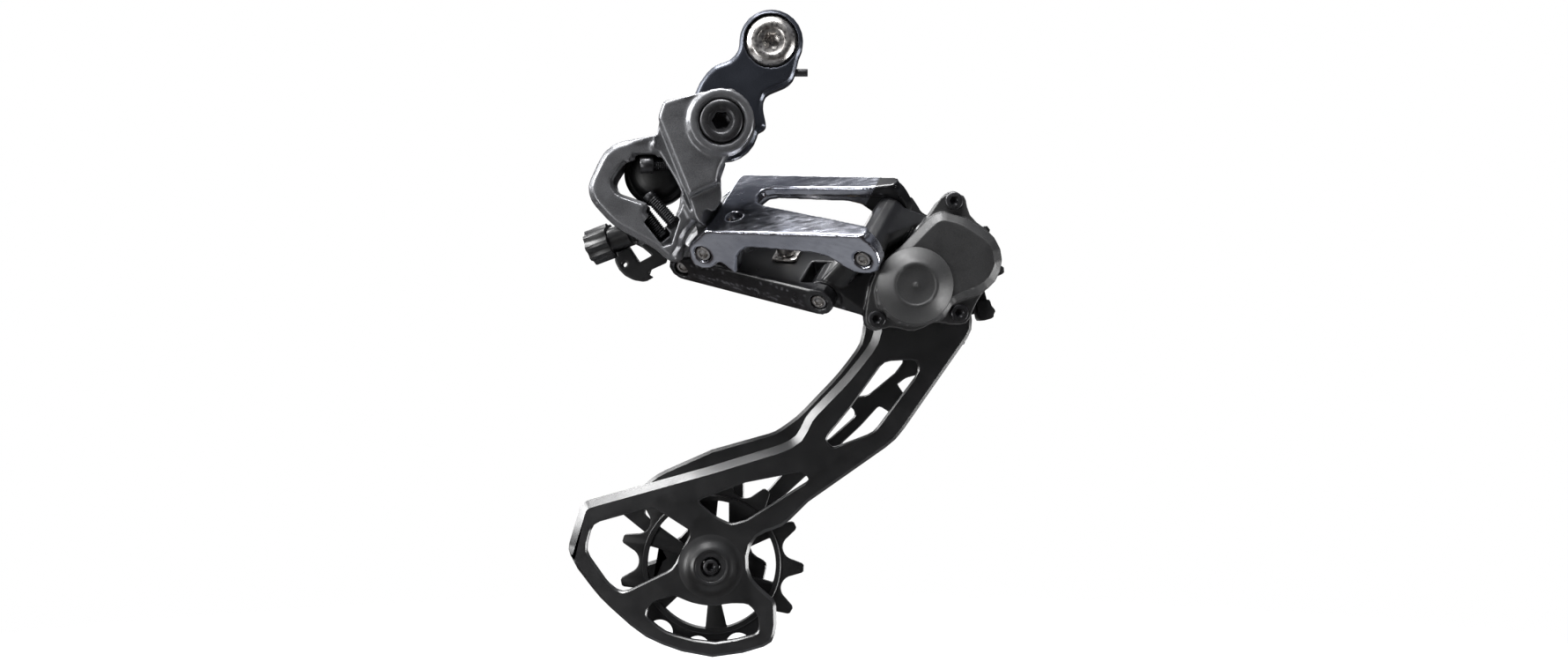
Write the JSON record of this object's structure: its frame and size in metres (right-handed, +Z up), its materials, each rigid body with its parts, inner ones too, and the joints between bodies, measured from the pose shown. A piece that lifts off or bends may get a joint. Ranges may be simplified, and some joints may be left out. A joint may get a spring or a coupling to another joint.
{
  "type": "rear bicycle derailleur",
  "caption": "Rear derailleur with a slanted parallelogram, a clutch-damped long cage and two toothed pulleys, bolted to a frame's hanger",
  "frame": {"origin": "axis of the hanger bolt, at the link's back face, which bears on the frame's hanger", "axes": "+X forward on the bicycle, +Y inboard towards the wheel along the hanger bolt, +Z up"},
  "size_m": [0.1351, 0.0676, 0.199],
  "materials": {
    "knuckle": "textured dark grey paint on forged aluminium",
    "link": "satin blue-black",
    "polished": "polished, tinted blue-grey",
    "black_alloy": "satin black",
    "cage_plate": "fine matte black",
    "cover_plastic": "fine-grained dark grey",
    "black_plastic": "moulded black",
    "steel": "turned and lightly polished",
    "black_steel": "blackened steel",
    "brass": "plain",
    "rubber": "plain"
  },
  "bodies": {
    "hanger": {"hanger_link": "link", "hanger_bolt": "steel", "b_axle": "black_steel", "b_axle_circlip": "black_steel", "link_stop_screw": "black_steel"},
    "b_knuckle": {"b_knuckle": "knuckle", "b_spring": "steel", "b_tension_screw": "black_steel", "limit_screw_high": "black_steel", "limit_screw_low": "black_steel", "domed_cap": "black_plastic", "cable_entry": "black_plastic", "pin_b_outer": "steel", "pin_b_inner": "steel"},
    "barrel_adjuster": {"barrel_adjuster": "black_plastic"},
    "outer_link": {"outer_link": "polished"},
    "inner_link": {"inner_link": "black_alloy", "cable_anchor_bolt": "steel", "cable_anchor_plate": "steel"},
    "p_knuckle": {"p_housing": "black_alloy", "cover_gasket": "rubber", "clutch_cover": "cover_plastic", "axle_cap": "cover_plastic", "cover_screw_1": "black_steel", "cover_screw_2": "black_steel", "cover_screw_3": "black_steel", "switch_cam": "steel", "roller_clutch": "steel", "friction_band": "brass", "cage_spring": "steel", "pin_p_outer": "steel", "pin_p_inner": "steel", "return_spring": "brass"},
    "switch_lever": {"switch_lever": "black_plastic"},
    "cage": {"outer_cage_plate": "cage_plate", "inner_cage_plate": "cage_plate", "p_axle": "steel", "cage_stop_pin": "steel", "guide_bolt": "black_steel", "guide_bush": "steel", "guide_cap_outer": "black_steel", "guide_cap_inner": "black_steel", "tension_bolt": "black_steel", "tension_bush": "steel", "tension_cap_outer": "black_steel", "tension_cap_inner": "black_steel"},
    "guide_pulley": {"guide_pulley": "black_plastic"},
    "tension_pulley": {"tension_pulley": "black_plastic"}
  },
  "joints": [
    {"name": "b_swing", "type": "hinge", "parent": "hanger", "child": "b_knuckle", "pos_m": [-0.0147, 0, -0.0256], "axis": [0, 1, 0], "range_deg": [0, 20], "stiffness_Nm_per_rad": 1.2, "springref_deg": -34.38},
    {"name": "adjuster_turn", "type": "hinge", "parent": "b_knuckle", "child": "barrel_adjuster", "pos_m": [-0.0435, 0.006, -0.0575], "axis": [-0.8989, 0.2996, -0.3196], "continuous": true},
    {"name": "outer_link_swing", "type": "hinge", "parent": "b_knuckle", "child": "outer_link", "pos_m": [-0.0152, 0.00306, -0.05527], "axis": [0.361, 0.7071, 0.6081], "range_deg": [0, 54], "stiffness_Nm_per_rad": 1, "springref_deg": -45.84},
    {"name": "inner_link_swing", "type": "hinge", "parent": "b_knuckle", "child": "inner_link", "pos_m": [-0.0251, 0.02309, -0.06282], "axis": [0.361, 0.7071, 0.6081], "range_deg": [-1, 55]},
    {"name": "p_knuckle_swing", "type": "hinge", "parent": "outer_link", "child": "p_knuckle", "pos_m": [0.03234, -0.01896, -0.0579], "axis": [0.361, 0.7071, 0.6081], "range_deg": [-55, 1]},
    {"name": "switch_turn", "type": "hinge", "parent": "p_knuckle", "child": "switch_lever", "pos_m": [0.06, -0.009, -0.0695], "axis": [0, -1, 0], "range_deg": [0, 50]},
    {"name": "cage_swing", "type": "hinge", "parent": "p_knuckle", "child": "cage", "pos_m": [0.0423, 0, -0.0745], "axis": [0, -1, 0], "range_deg": [0, 90], "stiffness_Nm_per_rad": 0.5, "springref_deg": -68.75},
    {"name": "guide_spin", "type": "hinge", "parent": "cage", "child": "guide_pulley", "pos_m": [0.0476, 0.008, -0.0705], "axis": [0, 1, 0], "continuous": true},
    {"name": "tension_spin", "type": "hinge", "parent": "cage", "child": "tension_pulley", "pos_m": [-0.0186, 0.008, -0.1602], "axis": [0, 1, 0], "continuous": true}
  ],
  "couplings": [
    {"joint": "inner_link_swing", "follows": "outer_link_swing", "ratio": 1},
    {"joint": "p_knuckle_swing", "follows": "outer_link_swing", "ratio": -1}
  ]
}
